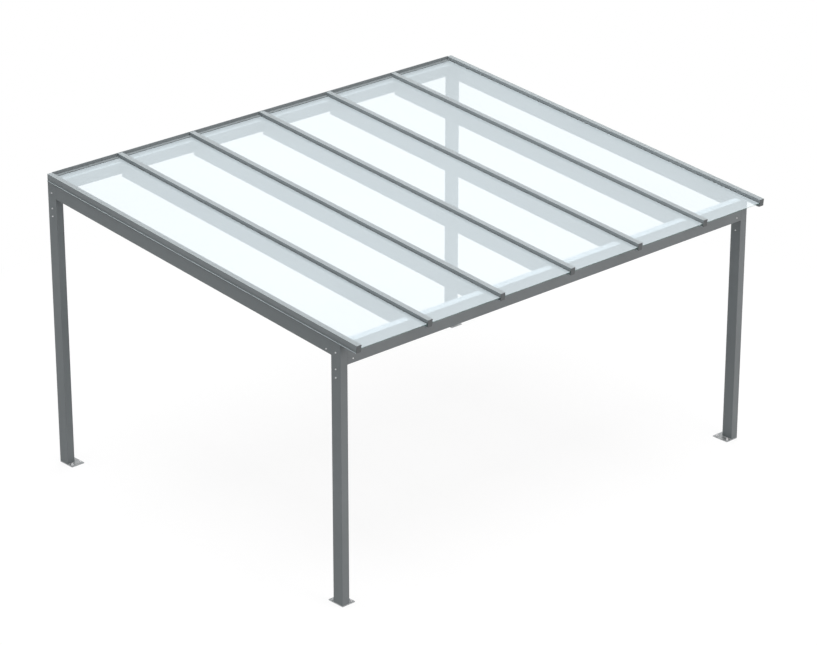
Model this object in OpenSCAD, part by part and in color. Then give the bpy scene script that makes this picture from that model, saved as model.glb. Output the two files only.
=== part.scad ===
// Free-standing glass pergola: four posts on base plates, a low front beam and a high
// rear beam, seven sloping rafters, and glass panes clamped between glazing bars and caps.
// The origin is on the ground under the middle of the roof's plan. +X runs along the
// front beam, +Y runs from the low front to the high rear.

/* [Frame] */
// Width over the outer faces of the posts
frame_w = 5160; // [4400:10:6000]
// Depth over the outer faces of the posts
frame_d = 4065; // [3000:5:4600]
// Height of the front beam's underside above the ground
front_clear = 2295; // [2000:1:2600]
// Slope of the roof in degrees
roof_pitch = 5.2; // [3:0.1:10]
// How far the roof runs out past the front posts
eave_reach = 208; // [100:2:320]

/* [Posts and base plates] */
// Width of a post along the beams
post_w = 80; // [60:1:100]
// Depth of a post, front to rear
post_d = 120; // [90:1:150]
// How far a base plate runs past the two inner faces of its post
plate_reach = 65; // [55:1:90]
// Thickness of a base plate
plate_t = 10; // [6:1:16]
// Diameter of an anchor hole in a base plate
anchor_d = 14; // [10:1:18]
// From a base plate's inner edge to the axis of its anchor holes
anchor_edge = 30; // [22:1:34]
// From a base plate's outer edge to the axis of its first anchor holes
anchor_start = 25; // [15:1:40]

/* [Beams and rafters] */
// Height of the front beam
front_beam_h = 207; // [150:1:250]
// Thickness of the front beam, front to rear
front_beam_t = 80; // [50:1:110]
// Height of the rear beam
rear_beam_h = 112; // [80:1:130]
// Thickness of the rear beam, front to rear
rear_beam_t = 60; // [40:1:90]
// Width of a rafter
rafter_w = 57; // [45:1:60]
// Depth of a rafter, square to the slope
rafter_h = 140; // [100:1:170]
// How much less the two end bays measure than the inner bays, before the shift
end_bay_less = 70; // [0:5:120]
// How far the inner rafters as a group stand to the right of the middle
inner_shift = 18; // [0:1:30]

/* [Glazing] */
// Thickness of the glass
glass_t = 10; // [6:0.5:16]
// Width of a glazing bar's foot, which shows as a lip along the side rafters
foot_w = 70; // [60:1:78]
// Thickness of a glazing bar's foot
foot_t = 4; // [2:0.5:6]
// Width of a glazing bar above its foot and of its clamping cap
bar_w = 54; // [46:1:58]
// Height of a glazing bar's glass seats over the rafter
seat_h = 27; // [14:1:36]
// Height of a clamping cap over the glass
cap_h = 33; // [20:1:45]
// Wall of the bars and caps
section_wall = 3; // [2:0.5:4]
// Thickness of the plates that close the front ends of the bars and caps
end_t = 3; // [2:0.5:6]
// From the axis of a bar to the edge of the glass beside it
glass_gap = 10; // [9:0.5:13]
// Width of the screw channel in a glazing bar
channel_w = 6; // [4:0.5:7]

/* [Rear rail] */
// How far the rear rail's foot reaches over the glass
rail_foot = 30; // [20:1:50]
// Thickness of the rear rail's foot
rail_foot_t = 4; // [2:0.5:8]
// Thickness of the rear rail's upstand
rail_t = 4; // [3:0.5:8]
// How far the rear rail stands above the clamping caps
rail_over = 3; // [0:1:15]

/* [Fit] */
// Free play between the glass or the caps and what they butt against
play = 0.3; // [0.1:0.1:1]
// Gap behind the rear edge of the glass
edge_gap = 5; // [2:1:10]

/* [Hidden] */

// Plan positions of the front and rear faces of the posts
y_front = (eave_reach - frame_d) / 2;
y_rear = y_front + frame_d;
x_outer = frame_w / 2;

// The roof plane through the top of the rafters, which meets the front beam's top edge
z_eave = front_clear + front_beam_h;
rise = tan(roof_pitch);
steep = 1 / cos(roof_pitch);

// Heights over that plane, square to the slope
glass_top = seat_h + glass_t;
cap_top = glass_top + cap_h;

// Where the roof starts, down the slope from the front faces of the posts. The ends are
// sawn square to the slope, so their top edge is the foremost.
eave_start = (cap_top * sin(roof_pitch) - eave_reach) * steep;

// Long enough to run past the frame on every side before the ends are trimmed
past = frame_d + 4 * eave_reach;

// How far a hole's cutter runs past both faces of its plate
overcut = 1;

// Axes of rafters 0 to 6: the outer two are flush with the posts, the rest keep the bay
last = 6;
bay_w = (frame_w - rafter_w + 2 * end_bay_less) / last;
function rafter_x(i) =
    i == 0 ? -x_outer + rafter_w / 2
    : i == last ? x_outer - rafter_w / 2
    : (i - last / 2) * bay_w + inner_shift;

// Height of the rafters' top plane at a distance behind the front faces
function top_z(y) = z_eave + (y - y_front) * rise;

steel = [0.43, 0.44, 0.45];
cap_grey = [0.52, 0.54, 0.56];
clear = [0.85, 0.94, 0.95, 0.4];

// Puts children drawn for the front left corner at the corner asked for
module at_corner(side, rear) {
    translate([side * x_outer, rear ? y_rear : y_front, 0])
        mirror([side > 0 ? 1 : 0, 0, 0])
            mirror([0, rear ? 1 : 0, 0])
                children();
}

// Places children on the roof: X across, Y up the slope from the front faces, Z square to it
module on_slope() {
    translate([0, y_front, z_eave])
        rotate([roof_pitch, 0, 0])
            children();
}

// A length of a section drawn in the XY plane, run up the slope from its start and past
// the rear
module slope_run(x, start = -past) {
    on_slope()
        translate([x, past, 0])
            rotate([90, 0, 0])
                linear_extrude(past - start)
                    children();
}

// Keeps only what lies between two plan positions
module between(y0, y1) {
    intersection() {
        children();
        translate([-frame_w, y0, 0])
            cube([2 * frame_w, y1 - y0, 2 * (z_eave + past)]);
    }
}

// A post stands on its base plate and is cut to the slope under the glazing bar
module post(side, rear) {
    color(steel)
        difference() {
            at_corner(side, rear)
                translate([0, 0, plate_t])
                    cube([post_w, post_d, top_z(y_rear)]);
            on_slope()
                translate([-frame_w, -past, 0])
                    cube([2 * frame_w, 2 * past, past]);
        }
}

module base_plate(side, rear) {
    plate_w = post_w + plate_reach;
    plate_d = post_d + plate_reach;
    far_x = plate_w - anchor_edge;
    far_y = plate_d - anchor_edge;
    color(steel)
        at_corner(side, rear)
            difference() {
                cube([plate_w, plate_d, plate_t]);
                for (p = [[anchor_start, far_y], [far_x, far_y], [far_x, anchor_start]])
                    translate([p[0], p[1], -overcut])
                        cylinder(d = anchor_d, h = plate_t + 2 * overcut, $fn = 48);
            }
}

module front_beam() {
    color(steel)
        translate([-x_outer + post_w, y_front, front_clear])
            cube([frame_w - 2 * post_w, front_beam_t, front_beam_h]);
}

module rear_beam() {
    y0 = y_rear - rear_beam_t;
    color(steel)
        translate([-x_outer + post_w, y0, top_z(y0) - rear_beam_h])
            cube([frame_w - 2 * post_w, rear_beam_t, rear_beam_h]);
}

// The side rafters butt between the posts, the inner ones between the two beams
module rafter(i) {
    front_stop = i % last == 0 ? post_d : front_beam_t;
    rear_stop = i % last == 0 ? post_d : rear_beam_t;
    color(steel)
        between(y_front + front_stop, y_rear - rear_stop)
            slope_run(rafter_x(i))
                translate([-rafter_w / 2, -rafter_h])
                    square([rafter_w, rafter_h]);
}

// One wall of a section, between two distances across and two heights
module wall(u0, u1, h0, h1) {
    translate([u0, h0])
        square([u1 - u0, h1 - h0]);
}

// A wide foot, a closed chamber under the glass seat on each side, and between them
// the walls of the screw channel, which stand up between the edges of two panes
module bar_section() {
    wall(-foot_w / 2, foot_w / 2, 0, foot_t);
    for (side = [0, 1])
        mirror([side, 0]) {
            wall(channel_w / 2, channel_w / 2 + section_wall, 0, seat_h + glass_t / 2);
            wall(channel_w / 2, bar_w / 2, seat_h - section_wall, seat_h);
            wall(bar_w / 2 - section_wall, bar_w / 2, 0, seat_h);
        }
}

// A closed box that presses on the edges of two panes, with a stem that reaches down
// into the screw channel; an outer cap has a leg in place of the second pane
module cap_section(leg_side) {
    difference() {
        wall(-bar_w / 2, bar_w / 2, glass_top, cap_top);
        wall(-bar_w / 2 + section_wall, bar_w / 2 - section_wall,
            glass_top + section_wall, cap_top - section_wall);
    }
    wall(-channel_w / 2 + play, channel_w / 2 - play, seat_h, glass_top + section_wall / 2);
    leg = leg_side * (bar_w - section_wall) / 2;
    if (leg_side != 0)
        wall(leg - section_wall / 2, leg + section_wall / 2, seat_h, glass_top + section_wall / 2);
}

// How far to the rear bars and caps run: the outer ones close the ends of the rear rail
function bar_end(i) = i % last == 0 ? y_rear : y_rear - rail_t;

module glazing_bar(i) {
    color(steel)
        between(-past, bar_end(i))
            slope_run(rafter_x(i), eave_start + end_t)
                bar_section();
}

module clamping_cap(i) {
    color(cap_grey)
        between(-past, bar_end(i))
            slope_run(rafter_x(i), eave_start + end_t)
                cap_section(i == 0 ? -1 : i == last ? 1 : 0);
}

// A plate over the front ends of a bar and its cap
module end_cap(i) {
    color(cap_grey)
        on_slope()
            translate([rafter_x(i) - bar_w / 2, eave_start, 0])
                cube([bar_w, end_t, cap_top]);
}

module glass_pane(i) {
    x0 = rafter_x(i) + glass_gap;
    x1 = rafter_x(i + 1) - glass_gap;
    color(clear)
        between(-past, y_rear - rail_t - edge_gap)
            slope_run(x0, eave_start + end_t + play)
                translate([0, seat_h])
                    square([x1 - x0, glass_t]);
}

// An angle between the outer bars, notched over their feet: its leg stands on the rear
// beam behind the glass, and its foot lies on the glass between the caps
module rear_rail() {
    y0 = y_rear - rail_t;
    half = x_outer - (rafter_w + bar_w) / 2 - play;
    half_low = x_outer - (rafter_w + foot_w) / 2 - play;
    span = x_outer - post_w;
    beam_top = top_z(y_rear - rear_beam_t);
    post_top = top_z(y_rear);
    foot_top = post_top + foot_t * steep + play;
    rail_top = post_top + (cap_top + rail_over) * steep;
    color(steel) {
        translate([-half, y0, foot_top])
            cube([2 * half, rail_t, rail_top - foot_top]);
        translate([-half_low, y0, post_top])
            cube([2 * half_low, rail_t, rail_top - post_top]);
        translate([-span, y0, beam_top])
            cube([2 * span, rail_t, rail_top - beam_top]);
        between(y0 - rail_foot, y0)
            difference() {
                slope_run(-half)
                    translate([0, glass_top])
                        square([2 * half, rail_foot_t]);
                for (i = [1 : last - 1])
                    slope_run(rafter_x(i))
                        translate([-bar_w / 2 - play, 0])
                            square([bar_w + 2 * play, 2 * cap_top]);
            }
    }
}

post(-1, false);  // post_front_left
post(1, false);  // post_front_right
post(-1, true);  // post_rear_left
post(1, true);  // post_rear_right
base_plate(-1, false);  // base_plate_front_left
base_plate(1, false);  // base_plate_front_right
base_plate(-1, true);  // base_plate_rear_left
base_plate(1, true);  // base_plate_rear_right
front_beam();
rear_beam();
rafter(0);  // rafter_1
rafter(1);  // rafter_2
rafter(2);  // rafter_3
rafter(3);  // rafter_4
rafter(4);  // rafter_5
rafter(5);  // rafter_6
rafter(6);  // rafter_7
glazing_bar(0);  // glazing_bar_1
glazing_bar(1);  // glazing_bar_2
glazing_bar(2);  // glazing_bar_3
glazing_bar(3);  // glazing_bar_4
glazing_bar(4);  // glazing_bar_5
glazing_bar(5);  // glazing_bar_6
glazing_bar(6);  // glazing_bar_7
clamping_cap(0);  // clamping_cap_1
clamping_cap(1);  // clamping_cap_2
clamping_cap(2);  // clamping_cap_3
clamping_cap(3);  // clamping_cap_4
clamping_cap(4);  // clamping_cap_5
clamping_cap(5);  // clamping_cap_6
clamping_cap(6);  // clamping_cap_7
end_cap(0);  // end_cap_1
end_cap(1);  // end_cap_2
end_cap(2);  // end_cap_3
end_cap(3);  // end_cap_4
end_cap(4);  // end_cap_5
end_cap(5);  // end_cap_6
end_cap(6);  // end_cap_7
glass_pane(0);  // glass_pane_1
glass_pane(1);  // glass_pane_2
glass_pane(2);  // glass_pane_3
glass_pane(3);  // glass_pane_4
glass_pane(4);  // glass_pane_5
glass_pane(5);  // glass_pane_6
rear_rail();
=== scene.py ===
# %% [markdown]
# # A glass pergola, dressed over its frame
# The frame holds every piece at its true size and place. This lesson puts the looks on it:
# painted steel with softened edges, clamped glass, gaskets, bolts and a quiet studio.
# Every length is in metres. +X runs along the front beam, +Y from the low front to the
# high rear, and +Z up from the ground.

# %% Load the frame
import bmesh
import bpy
import math
from mathutils import Matrix, Vector


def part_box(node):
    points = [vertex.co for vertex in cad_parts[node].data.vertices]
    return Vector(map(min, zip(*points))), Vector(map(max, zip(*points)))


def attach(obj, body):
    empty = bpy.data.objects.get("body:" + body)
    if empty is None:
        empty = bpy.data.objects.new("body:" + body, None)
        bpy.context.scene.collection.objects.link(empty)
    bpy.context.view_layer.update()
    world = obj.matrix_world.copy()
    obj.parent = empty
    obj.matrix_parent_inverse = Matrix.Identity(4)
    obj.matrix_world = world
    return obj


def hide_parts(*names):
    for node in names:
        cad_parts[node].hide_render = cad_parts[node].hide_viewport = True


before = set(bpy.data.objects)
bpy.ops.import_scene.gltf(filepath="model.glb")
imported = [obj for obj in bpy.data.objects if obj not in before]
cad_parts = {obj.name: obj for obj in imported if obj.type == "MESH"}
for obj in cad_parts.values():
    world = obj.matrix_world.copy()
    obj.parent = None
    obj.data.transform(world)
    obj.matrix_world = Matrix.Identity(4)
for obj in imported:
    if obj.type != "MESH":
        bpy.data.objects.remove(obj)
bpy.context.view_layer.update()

# %% [markdown]
# ## Key planes
# The pieces that scene.py adds find their places from the frame's own boxes, so a bolt
# stays on its post when a size changes. The roof's plane starts at the top edge of the
# front beam and climbs with the pitch.

# %% Key planes
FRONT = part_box("front_beam")
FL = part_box("post_front_left")
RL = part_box("post_rear_left")
X_OUTER = -FL[0][0]
RISE = (RL[1][2] - FL[1][2]) / (RL[1][1] - FL[1][1])
PITCH = math.atan(RISE)
EAVE = Vector((0, FL[0][1], FRONT[1][2]))
ACROSS = Vector((1, 0, 0))
ALONG = Vector((0, math.cos(PITCH), math.sin(PITCH)))
UP = Vector((0, -math.sin(PITCH), math.cos(PITCH)))
PLUMB = Vector((0, 0, 1))


def roof_z(y):
    """Height of the plane through the tops of the rafters, at a plan position."""
    return EAVE.z + (y - EAVE.y) * RISE


def on_roof(x, run, over):
    """A point so far across the roof, up its slope from the eave beam, and square above it."""
    return EAVE + ACROSS * x + ALONG * run + UP * over


def reach(node, axis):
    """The least and the greatest distance of a node from the eave beam, along a roof axis."""
    runs = [(v.co - EAVE).dot(axis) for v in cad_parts[node].data.vertices]
    return min(runs), max(runs)


SEAT, GLASS_TOP = reach("glass_pane_1", UP)
print("pitch %.2f degrees, eave %.3f m, glass from %.1f to %.1f mm over the rafters"
      % (math.degrees(PITCH), EAVE.z, SEAT * 1000, GLASS_TOP * 1000))

# %% [markdown]
# ## Camera
# The photograph looks down on the front left corner from far away. Its lens and place come
# from the edges of posts, beams and caps, fitted by least squares to about an eighth of a pixel.

# %% Camera
cam = bpy.data.cameras.new("camera")
cam.lens = 142.17
cam.sensor_width = 36.0
cam.clip_end = 200.0
eye = bpy.data.objects.new("camera", cam)
eye.location = (-19.2086, -20.6748, 13.2912)
eye.rotation_euler = (math.radians(67.098), 0.0, math.radians(-42.892))
bpy.context.scene.collection.objects.link(eye)
bpy.context.scene.camera = eye

# %% [markdown]
# ## Material helpers
# Each material is built from a few nodes that read the object's own coordinates, so the
# grain keeps its scale on every piece and stays put from every side.

# %% Material helpers


class Nodes:
    """A short way to add and join shader nodes."""

    def __init__(self, name):
        self.mat = bpy.data.materials.new(name)
        self.mat.use_nodes = True
        self.tree = self.mat.node_tree
        self.shader = self.tree.nodes["Principled BSDF"]
        self.out = self.tree.nodes["Material Output"]
        self.place = self.add("ShaderNodeTexCoord").outputs["Object"]

    def add(self, kind, **values):
        node = self.tree.nodes.new(kind)
        for key, value in values.items():
            if hasattr(node, key):
                setattr(node, key, value)
            else:
                node.inputs[key.replace("_", " ")].default_value = value
        return node

    def join(self, a, b):
        self.tree.links.new(a, b)

    def noise(self, scale, detail=3.0, stretch=(1, 1, 1)):
        move = self.add("ShaderNodeMapping")
        move.inputs["Scale"].default_value = stretch
        self.join(self.place, move.inputs["Vector"])
        node = self.add("ShaderNodeTexNoise", Scale=scale, Detail=detail)
        self.join(move.outputs["Vector"], node.inputs["Vector"])
        return node.outputs["Fac"]

    def ramp(self, source, stops):
        node = self.add("ShaderNodeValToRGB")
        band = node.color_ramp
        while len(band.elements) < len(stops):
            band.elements.new(0.5)
        for element, (where, colour) in zip(band.elements, stops):
            element.position = where
            element.color = (*colour, 1.0)
        self.join(source, node.inputs["Fac"])
        return node.outputs["Color"]

    def span(self, source, low, high):
        node = self.add("ShaderNodeMapRange", To_Min=low, To_Max=high)
        self.join(source, node.inputs["Value"])
        return node.outputs["Result"]

    def bump(self, source, strength, distance):
        node = self.add("ShaderNodeBump", Strength=strength, Distance=distance)
        self.join(source, node.inputs["Height"])
        self.join(node.outputs["Normal"], self.shader.inputs["Normal"])
        return node

    def set(self, **values):
        for key, value in values.items():
            self.shader.inputs[key.replace("_", " ")].default_value = value


def shade(colour, factor):
    return tuple(c * factor for c in colour)


# %% [markdown]
# ## Paint, zinc, steel, rubber and glass
# The frame wears a satin powder coat: a faint orange peel in the gloss, slow drifts of tone,
# and a little dust that dulls it in patches.

# %% Painted metal


def painted(name, colour, rough=0.42):
    n = Nodes(name)
    drift = n.ramp(n.noise(1.3, 4.0), [(0.35, shade(colour, 0.96)), (0.65, shade(colour, 1.05))])
    n.join(drift, n.shader.inputs["Base Color"])
    n.join(n.span(n.noise(9.0, 5.0), rough - 0.07, rough + 0.08), n.shader.inputs["Roughness"])
    n.bump(n.noise(700.0, 2.0), 0.12, 0.0004)
    n.set(IOR=1.5)
    return n.mat


PAINT = (0.166, 0.187, 0.195)
painted_frame = painted("painted_frame", PAINT)
# The caps take the frame paint a fifth lighter: a painted highlight that makes their tops brighter than the lamps
# alone do.
painted_cap = painted("painted_cap", shade(PAINT, 1.2), 0.34)
# The rear rail takes the frame paint a little darker: painted shade on its face and on its foot.
trim_paint_painted_shade = painted("trim_paint_painted_shade", shade(PAINT, 0.92), 0.46)
# The end plates take the frame paint at about half its tone: painted shade on the closed front ends.
end_paint_painted_shade = painted("end_paint_painted_shade", shade(PAINT, 0.55), 0.46)
# The top faces of the bars' lips take the frame paint 2.6 times lighter: a painted highlight along the lip.
lip_painted_highlight = painted("lip_painted_highlight", shade(PAINT, 2.6), 0.36)
# The tops of the beams take a pale blue grey: painted light that shows them brightly lit under the glass.
beam_top_painted_light = painted("beam_top_painted_light", (0.68, 0.77, 0.83), 0.50)

# %% Galvanised plate


def zinc():
    n = Nodes("galvanised_plate")
    cell = n.add("ShaderNodeTexVoronoi", Scale=70.0)
    n.join(n.place, cell.inputs["Vector"])
    tone = n.ramp(cell.outputs["Color"], [(0.1, (0.32, 0.335, 0.34)), (0.9, (0.46, 0.475, 0.48))])
    n.join(tone, n.shader.inputs["Base Color"])
    n.join(n.span(n.noise(40.0), 0.38, 0.58), n.shader.inputs["Roughness"])
    n.set(Metallic=0.75)
    return n.mat


galvanised_plate = zinc()

# %% Bright fasteners


def fastener():
    n = Nodes("bolt_steel")
    n.join(n.ramp(n.noise(300.0), [(0.3, (0.70, 0.71, 0.72)), (0.7, (0.86, 0.87, 0.88))]), n.shader.inputs["Base Color"])
    n.join(n.span(n.noise(160.0), 0.25, 0.42), n.shader.inputs["Roughness"])
    n.set(Metallic=0.5)
    return n.mat


bolt_steel = fastener()

# %% Rubber


def gasket_rubber():
    n = Nodes("rubber")
    n.join(n.ramp(n.noise(60.0), [(0.3, (0.018, 0.018, 0.019)), (0.7, (0.032, 0.032, 0.033))]), n.shader.inputs["Base Color"])
    n.join(n.span(n.noise(200.0), 0.55, 0.75), n.shader.inputs["Roughness"])
    return n.mat


rubber = gasket_rubber()

# %% [markdown]
# The photograph shows the glass bright and milky: the frame under it comes through as a pale
# blue ghost. Its upper face carries that veil, its other faces stay clear, and the cut edges
# turn green, as float glass does.

# %% Glass


def glass_face(name, colour, alpha, rough):
    n = Nodes(name)
    n.join(n.ramp(n.noise(0.8, 2.0), [(0.3, shade(colour, 0.985)), (0.7, shade(colour, 1.015))]), n.shader.inputs["Base Color"])
    n.join(n.span(n.noise(6.0, 3.0), rough, rough + 0.03), n.shader.inputs["Roughness"])
    n.set(Alpha=alpha, IOR=1.5)
    return n.mat


glass_veil = glass_face("glass_upper_face", (0.444, 0.503, 0.531), 0.61, 0.03)
glass_clear = glass_face("glass_under_face", (0.75, 0.86, 0.88), 0.05, 0.03)
glass_edge = glass_face("glass_cut_edge", (0.10, 0.24, 0.21), 0.30, 0.12)
print("materials:", len(bpy.data.materials))

# %% [markdown]
# ## Mesh helpers
# A dressed piece starts from the frame's own solid. Its triangles are joined into flat faces
# again and its sharp edges are rounded, which is what catches the light on real tube.

# %% Mesh helpers


def make(name, bm, mats, smooth=True):
    """A finished object from a bmesh, with clean normals."""
    mesh = bpy.data.meshes.new(name)
    bmesh.ops.recalc_face_normals(bm, faces=bm.faces)
    bm.to_mesh(mesh)
    bm.free()
    obj = bpy.data.objects.new(name, mesh)
    bpy.context.scene.collection.objects.link(obj)
    for mat in mats if isinstance(mats, (list, tuple)) else [mats]:
        mesh.materials.append(mat)
    if smooth:
        for poly in mesh.polygons:
            poly.use_smooth = True
        mesh.set_sharp_from_angle(angle=math.radians(40))
        even = obj.modifiers.new("even_shading", "WEIGHTED_NORMAL")
        even.keep_sharp = True
    return obj


def solid_of(node):
    """The frame's solid as a bmesh of flat faces."""
    bm = bmesh.new()
    bm.from_mesh(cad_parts[node].data)
    bmesh.ops.remove_doubles(bm, verts=bm.verts, dist=2e-5)
    bmesh.ops.dissolve_limit(bm, angle_limit=math.radians(0.5), verts=bm.verts, edges=bm.edges)
    return bm


def soften(bm, radius, segments, pick=None):
    """Rounds the sharp edges that pick accepts."""
    edges = [e for e in bm.edges if len(e.link_faces) == 2 and e.calc_face_angle(0) > math.radians(30)
             and (pick is None or pick(e))]
    bmesh.ops.bevel(bm, geom=edges, offset=radius, segments=segments, profile=0.5,
                    affect="EDGES", clamp_overlap=True)


def dress(node, mat, radius, segments=3, pick=None):
    """The rounded piece that stands for one frame node."""
    bm = solid_of(node)
    soften(bm, radius, segments, pick)
    obj = make("skin_" + node, bm, mat)
    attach(obj, "root")
    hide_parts(node)
    return obj


def along(e, axis, limit=0.98):
    """True if an edge runs along an axis."""
    d = (e.verts[1].co - e.verts[0].co).normalized()
    return abs(d.dot(axis)) > limit


def bead(bm, start, end, u, v, r, ripple=0.0, pitch=0.003):
    """A quarter-round bead in the corner between two faces that run along u and v."""
    length = (end - start).length
    steps = max(1, round(length / pitch * 4)) if ripple else 1
    angles = [math.pi / 8 * k for k in range(5)]
    rings = []
    for s in range(steps + 1):
        here = start.lerp(end, s / steps)
        wide = r * (1 + ripple * math.sin(math.pi / 2 * s))
        outline = [Vector()] + [(u * math.cos(a) + v * math.sin(a)) * wide for a in angles]
        rings.append([bm.verts.new(here + o) for o in outline])
    for a, b in zip(rings, rings[1:]):
        for k in range(len(a)):
            j = (k + 1) % len(a)
            bm.faces.new((a[k], a[j], b[j], b[k]))
    bm.faces.new(rings[0][::-1])
    bm.faces.new(rings[-1])


# %% [markdown]
# ## Posts, beams and rafters
# The tube has small round corners, along its length only. The cut ends stay crisp, and a
# hair of rounding there makes each joint read as a fine seam.

# %% Posts, beams and rafters


def tube(node, axis, corner=0.002, seam=0.0008):
    bm = solid_of(node)
    soften(bm, corner, 4, lambda e: along(e, axis))
    soften(bm, seam, 1, lambda e: e.calc_face_angle(0) > math.radians(60) and not along(e, axis))
    obj = make("skin_" + node, bm, painted_frame)
    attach(obj, "root")
    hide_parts(node)
    return obj


POSTS = ["post_" + end + "_" + side for end in ("front", "rear") for side in ("left", "right")]
for node in POSTS:
    tube(node, PLUMB)
for node in ("front_beam", "rear_beam"):
    beam = tube(node, ACROSS)
    beam.data.materials.append(beam_top_painted_light)
    # The upward faces of each beam get the painted light of the pale top.
    for face in beam.data.polygons:
        if face.normal.z > 0.95:
            face.material_index = 1
for i in range(1, 8):
    tube("rafter_%d" % i, ALONG)
print("tubes: 4 posts, 2 beams, 7 rafters")

# %% [markdown]
# ## Glazing bars, caps and rear rail
# These are extruded aluminium: thin walls and small crisp radii, with a flat plate that
# closes each front end.

# %% Glazing bars, caps and rear rail
for i in range(1, 8):
    bar = dress("glazing_bar_%d" % i, [painted_frame, lip_painted_highlight], 0.0006, 1)
    # The upward faces of each bar's lip get the painted highlight.
    for face in bar.data.polygons:
        if face.normal.dot(UP) > 0.95 and (face.center - EAVE).dot(UP) < 0.006:
            face.material_index = 1
    # Each cap carries the lighter paint with the painted highlight.
    dress("clamping_cap_%d" % i, painted_cap, 0.0009, 2)
    # Each end plate carries the darker paint with the painted shade.
    dress("end_cap_%d" % i, end_paint_painted_shade, 0.0006, 1)
# The rail carries the darker paint with the painted shade.
dress("rear_rail", trim_paint_painted_shade, 0.0008, 2)
print("sections: 7 bars, 7 caps, 7 end caps, 1 rail")

# %% [markdown]
# ## Base plates
# Each plate is hot dip galvanised, with softened edges and three anchor holes. A weld bead
# joins it to the two inner faces of its post, where the plate runs on past the tube.

# %% Base plates
for node in POSTS:
    dress(node.replace("post", "base_plate"), galvanised_plate, 0.0015, 2)

# %% Weld beads
bm = bmesh.new()
for node in POSTS:
    low, high = (Vector(c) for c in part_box(node))
    inward = Vector((1 if "left" in node else -1, 1 if "front" in node else -1, 0))
    x_in = high.x if inward.x > 0 else low.x
    y_in = high.y if inward.y > 0 else low.y
    z = low.z + 0.0001
    x_dir, y_dir = ACROSS * inward.x, Vector((0, inward.y, 0))
    nudge = 0.0001
    bead(bm, Vector((x_in + nudge * inward.x, low.y + 0.002, z)), Vector((x_in + nudge * inward.x, high.y - 0.002, z)),
         x_dir, PLUMB, 0.005, ripple=0.08)
    bead(bm, Vector((low.x + 0.002, y_in + nudge * inward.y, z)), Vector((high.x - 0.002, y_in + nudge * inward.y, z)),
         y_dir, PLUMB, 0.005, ripple=0.08)
welds = make("weld_beads", bm, galvanised_plate)
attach(welds, "root")
print("base plates: 4, weld beads: 8")

# %% [markdown]
# ## Glass panes
# A pane keeps its solid's shape with a small ground bevel along every edge. Its upper face
# gets the veil, the lower one stays clear and the narrow sides show the green of the edge.

# %% Glass panes
for i in range(1, 7):
    bm = solid_of("glass_pane_%d" % i)
    soften(bm, 0.0010, 1)
    bmesh.ops.recalc_face_normals(bm, faces=bm.faces)
    for face in bm.faces:
        lift = face.normal.dot(UP)
        face.material_index = 0 if lift > 0.95 else 1 if lift < -0.95 else 2
    pane = make("skin_glass_pane_%d" % i, bm, [glass_veil, glass_clear, glass_edge], smooth=False)
    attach(pane, "root")
    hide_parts("glass_pane_%d" % i)

# %% [markdown]
# ## Gaskets
# A soft rubber lip seals each pane against the caps above it and the bars below it, and a
# third one lies along the front of the rear rail's foot.

# %% Gaskets
upper, lower, rail = bmesh.new(), bmesh.new(), bmesh.new()
rail_run = reach("rear_rail", ALONG)[0]
hair = 0.0001
for i in range(1, 7):
    x0 = reach("clamping_cap_%d" % i, ACROSS)[1] + hair
    x1 = reach("clamping_cap_%d" % (i + 1), ACROSS)[0] - hair
    run0, run1 = reach("glass_pane_%d" % i, ALONG)
    for x, away in ((x0, ACROSS), (x1, -ACROSS)):
        bead(upper, on_roof(x, run0 + 0.001, GLASS_TOP + hair), on_roof(x, rail_run - hair, GLASS_TOP + hair),
             away, UP, 0.0024)
        bead(lower, on_roof(x, run0 + 0.001, SEAT - hair), on_roof(x, run1 - 0.004, SEAT - hair),
             away, -UP, 0.0030)
    bead(rail, on_roof(x0 + 0.003, rail_run - hair, GLASS_TOP + hair), on_roof(x1 - 0.003, rail_run - hair, GLASS_TOP + hair),
         -ALONG, UP, 0.0030)
for name, bm in (("gaskets_upper", upper), ("gaskets_lower", lower), ("gaskets_rail", rail)):
    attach(make(name, bm, rubber), "root")
print("gaskets: 12 upper, 12 lower, 6 at the rail")

# %% [markdown]
# ## Fasteners
# A bolt head is turned from an outline and then cut to a hexagon. One routine makes them all,
# and each sits on a washer on the face that carries it.

# %% Fasteners


def ring(bm, count, radius, height, turn=0.0):
    return [bm.verts.new((radius * math.cos(turn + 2 * math.pi * k / count),
                          radius * math.sin(turn + 2 * math.pi * k / count), height)) for k in range(count)]


def stack(bm, rings, close_top=True):
    """Skins a pile of rings that have the same number of points."""
    for low, high in zip(rings, rings[1:]):
        for k in range(len(low)):
            j = (k + 1) % len(low)
            bm.faces.new((low[k], low[j], high[j], high[k]))
    bm.faces.new(rings[0][::-1])
    if close_top:
        bm.faces.new(rings[-1])


def hex_radius(k, across, count):
    """Distance from the axis to the side of a hexagon, at point k of a ring of count points."""
    a = (2 * math.pi * k / count) % (math.pi / 3) - math.pi / 6
    return across / 2 / math.cos(a)


def bolt(bm, across, head, washer_r, washer_t, stud=0.0):
    """A washer, a chamfered hexagon, and where asked the threaded end of a stud above it."""
    n = 36
    stack(bm, [ring(bm, n, washer_r, 0), ring(bm, n, washer_r, washer_t * 0.8),
               ring(bm, n, washer_r - washer_t * 0.2, washer_t)])

    def hexagon(z, trim):
        return [bm.verts.new((min(hex_radius(k, across, n), trim) * math.cos(2 * math.pi * k / n),
                              min(hex_radius(k, across, n), trim) * math.sin(2 * math.pi * k / n), z))
                for k in range(n)]

    top = washer_t + head
    wide = across / 2 / math.cos(math.pi / 6)
    stack(bm, [hexagon(washer_t, wide), hexagon(top - head * 0.14, wide), hexagon(top, across * 0.49)])
    if stud:
        r = across * 0.31
        rings = []
        turns = int(stud / 0.0012)
        for t in range(turns):
            z = top + t * 0.0012
            rings += [ring(bm, n, r, z), ring(bm, n, r * 0.92, z + 0.0006)]
        rings.append(ring(bm, n, r * 0.85, top + stud))
        stack(bm, rings)


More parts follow.
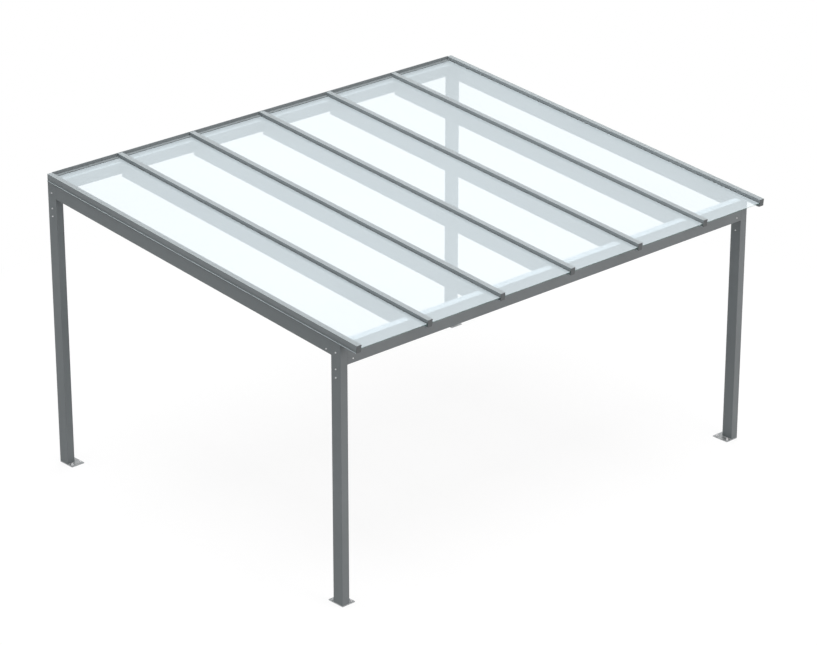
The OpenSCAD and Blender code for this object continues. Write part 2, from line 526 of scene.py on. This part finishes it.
def place_bolts(name, spots, across=0.0115, head=0.005, washer_r=0.0074, washer_t=0.0014, stud=0.0):
    """One object with a bolt at each (point, outward direction)."""
    whole = bmesh.new()
    for point, out in spots:
        bm = bmesh.new()
        bolt(bm, across, head, washer_r, washer_t, stud)
        turn = Vector(out).to_track_quat("Z", "Y").to_matrix().to_4x4()
        bmesh.ops.transform(bm, matrix=Matrix.Translation(Vector(point)) @ turn, verts=bm.verts)
        part = bpy.data.meshes.new("bolt_part")
        bm.to_mesh(part)
        bm.free()
        whole.from_mesh(part)
        bpy.data.meshes.remove(part)
    obj = make(name, whole, bolt_steel)
    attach(obj, "root")
    return obj


# %% [markdown]
# Each post has three bolts down the middle of its outer side and one on the inner side, the
# front beam has one near each end, and each inner rafter a pair beside the rear beam.

# %% Post and beam bolts
spots = []
for node in POSTS:
    low, high = (Vector(c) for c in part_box(node))
    mid_y = (low.y + high.y) / 2
    out = -1 if "left" in node else 1
    x_out, x_in = (low.x, high.x) if out < 0 else (high.x, low.x)
    for down in (0.096, 0.250, 0.328):
        spots.append(((x_out, mid_y, roof_z(mid_y) - down), (out, 0, 0)))
    spots.append(((x_in, mid_y, roof_z(mid_y) - 0.328), (-out, 0, 0)))
for side in (-1, 1):
    spots.append(((side * (X_OUTER - 0.143), EAVE.y, FRONT[0][2] + 0.043), (0, -1, 0)))
place_bolts("frame_bolts", spots)

# %% Rafter bolts
spots = []
for i in range(1, 8):
    low, high = (Vector(c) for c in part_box("rafter_%d" % i))
    if i in (1, 7):
        y = low.y + 0.060
        for x, out in ((low.x, -1), (high.x, 1)):
            spots.append(((x, y, roof_z(y) - 0.108), (out, 0, 0)))
    else:
        y = high.y - 0.022
        for down in (0.021, 0.097):
            for x, out in ((low.x, -1), (high.x, 1)):
                spots.append(((x, y, roof_z(y) - down), (out, 0, 0)))
place_bolts("rafter_bolts", spots)

# %% Anchor bolts
spots = []
for node in POSTS:
    plate = node.replace("post", "base_plate")
    low, high = (Vector(c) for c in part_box(plate))
    side = -1 if "left" in node else 1
    rear = 1 if "rear" in node else -1
    x_out = low.x if side < 0 else high.x
    y_out = high.y if rear > 0 else low.y
    near, far_x, far_y = 0.025, 0.115, 0.155
    for dx, dy in ((near, far_y), (far_x, far_y), (far_x, near)):
        spots.append(((x_out - side * dx, y_out - rear * dy, high.z), (0, 0, 1)))
place_bolts("anchor_bolts", spots, across=0.019, head=0.010, washer_r=0.0135, washer_t=0.0025, stud=0.009)
print("bolts: posts, beams, rafters and", len(spots), "anchors")

# %% [markdown]
# ## Studio
# A pale floor and a soft white room. A broad lamp overhead and the caps' painted highlight make the tops of the caps
# bright, and the room's own light fills the sides.

# %% What the camera sees of the studio


def sees_backdrop(tree):
    """1 for a ray from the camera, off gloss or through glass, and 0 for soft bounced light."""
    path = tree.nodes.new("ShaderNodeLightPath")
    total = path.outputs["Is Camera Ray"]
    for ray in ("Is Glossy Ray", "Is Transmission Ray"):
        either = tree.nodes.new("ShaderNodeMath")
        either.operation = "MAXIMUM"
        tree.links.new(total, either.inputs[0])
        tree.links.new(path.outputs[ray], either.inputs[1])
        total = either.outputs[0]
    return total


# %% Floor
bm = bmesh.new()
size, steps = 60.0, 12
grid = [[bm.verts.new((-size / 2 + size * i / steps, -size / 2 + size * j / steps, -0.0005))
         for j in range(steps + 1)] for i in range(steps + 1)]
for i in range(steps):
    for j in range(steps):
        bm.faces.new((grid[i][j], grid[i + 1][j], grid[i + 1][j + 1], grid[i][j + 1]))
n = Nodes("floor_matt")
n.join(n.ramp(n.noise(0.5), [(0.3, (0.40, 0.40, 0.40)), (0.7, (0.42, 0.42, 0.42))]), n.shader.inputs["Base Color"])
n.set(Roughness=0.9)
glow = n.add("ShaderNodeEmission", Strength=1.0)
sheet = n.add("ShaderNodeBsdfDiffuse", Color=(0.9, 0.9, 0.9, 1.0))
away = n.add("ShaderNodeVectorMath", operation="LENGTH")
n.join(n.place, away.inputs[0])
share = n.add("ShaderNodeMapRange", From_Min=4.0, From_Max=6.5, To_Min=0.85, To_Max=1.0)
n.join(away.outputs["Value"], share.inputs["Value"])
lit = n.add("ShaderNodeMixShader")
n.join(share.outputs["Result"], lit.inputs["Fac"])
n.join(sheet.outputs[0], lit.inputs[1])
n.join(glow.outputs[0], lit.inputs[2])
mix = n.add("ShaderNodeMixShader")
n.join(sees_backdrop(n.tree), mix.inputs["Fac"])
n.join(n.shader.outputs[0], mix.inputs[1])
n.join(lit.outputs[0], mix.inputs[2])
n.join(mix.outputs[0], n.out.inputs["Surface"])
floor = make("studio_floor", bm, n.mat, smooth=False)

# %% Light
scene = bpy.context.scene
scene.view_settings.view_transform = "Standard"
world = bpy.data.worlds.new("studio")
scene.world = world
world.use_nodes = True
tree = world.node_tree
plain = tree.nodes["Background"]
plain.inputs["Color"].default_value = (0.94, 0.97, 1.0, 1.0)
plain.inputs["Strength"].default_value = 0.185
white = tree.nodes.new("ShaderNodeBackground")
white.inputs["Color"].default_value = (1.0, 1.0, 1.0, 1.0)
white.inputs["Strength"].default_value = 1.0
choose = tree.nodes.new("ShaderNodeMixShader")
tree.links.new(sees_backdrop(tree), choose.inputs["Fac"])
tree.links.new(plain.outputs[0], choose.inputs[1])
tree.links.new(white.outputs[0], choose.inputs[2])
tree.links.new(choose.outputs[0], tree.nodes["World Output"].inputs["Surface"])


def lamp(name, place, target, size, power, colour=(1, 1, 1)):
    data = bpy.data.lights.new(name, "AREA")
    data.shape = "RECTANGLE"
    data.size, data.size_y = size
    data.energy = power
    data.color = colour
    obj = bpy.data.objects.new(name, data)
    obj.location = place
    obj.rotation_euler = (Vector(target) - Vector(place)).to_track_quat("-Z", "Y").to_euler()
    obj.visible_glossy = False
    scene.collection.objects.link(obj)


lamp("lamp_over", (0.0, 0.0, 14.0), (0, 0, 0), (16.0, 16.0), 3600.0)
lamp("lamp_front", (2.0, -16.0, 8.0), (0, 0, 1.5), (8.0, 6.0), 1120.0, (1.0, 0.89, 0.86))
lamp("lamp_side", (-16.0, 2.0, 8.0), (0, 0, 1.5), (8.0, 6.0), 260.0)
